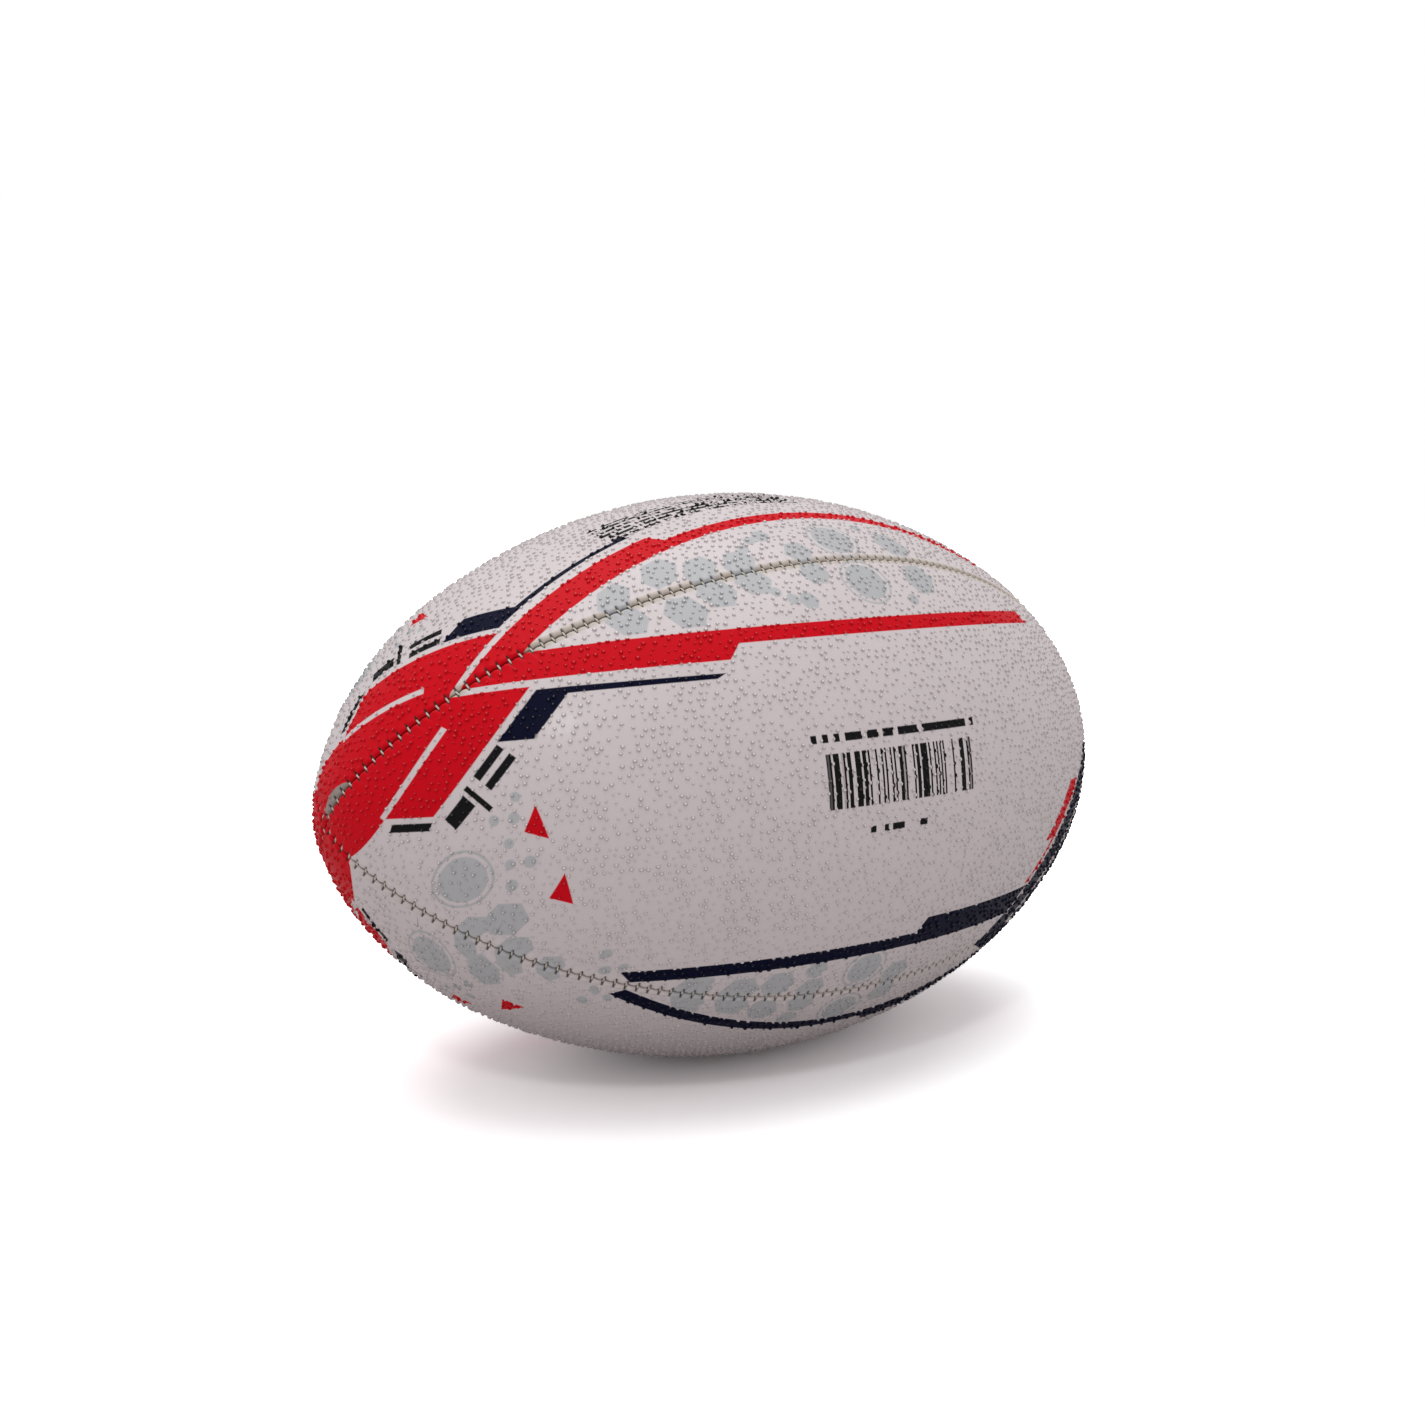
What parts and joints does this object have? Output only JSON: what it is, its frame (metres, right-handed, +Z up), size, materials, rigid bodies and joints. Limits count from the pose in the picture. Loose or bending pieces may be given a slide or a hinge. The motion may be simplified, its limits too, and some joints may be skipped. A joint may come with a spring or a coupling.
{
  "type": "rugby ball",
  "caption": "Oval rugby ball, sewn from pimpled rubber panels over woven linings, with thread along its seams and an inner bladder with a needle valve.",
  "frame": {"origin": "middle of the ball", "axes": "+X along the long axis, towards the right-hand tip; +Z up, as the ball lies on its side; the panel with the valve faces +Y"},
  "size_m": [0.295, 0.186, 0.186],
  "materials": {
    "cover_rubber": "pimpled natural and synthetic rubber, off-white, with red and dark navy print, matt",
    "lining_polyester": "plain woven polyester, rubber coated",
    "lining_cotton": "plain woven unbleached cotton",
    "thread": "waxed twisted polyester thread, off-white",
    "bladder_rubber": "black butyl rubber, dusted with talc",
    "valve_rubber": "moulded dark rubber",
    "core_rubber": "soft moulded red-brown rubber"
  },
  "bodies": {
    "root": {"cover_panel_top": "cover_rubber", "cover_panel_front": "cover_rubber", "cover_panel_bottom": "cover_rubber", "cover_panel_back": "cover_rubber", "lining_outer_top": "lining_polyester", "lining_middle_top": "lining_cotton", "lining_inner_top": "lining_polyester", "lining_outer_front": "lining_polyester", "lining_middle_front": "lining_cotton", "lining_inner_front": "lining_polyester", "lining_outer_bottom": "lining_polyester", "lining_middle_bottom": "lining_cotton", "lining_inner_bottom": "lining_polyester", "lining_outer_back": "lining_polyester", "lining_middle_back": "lining_cotton", "lining_inner_back": "lining_polyester", "seam_thread_upper_back": "thread", "seam_thread_upper_front": "thread", "seam_thread_lower_front": "thread", "seam_thread_lower_back": "thread", "bladder": "bladder_rubber", "valve_body": "valve_rubber", "valve_core": "core_rubber"}
  },
  "joints": []
}
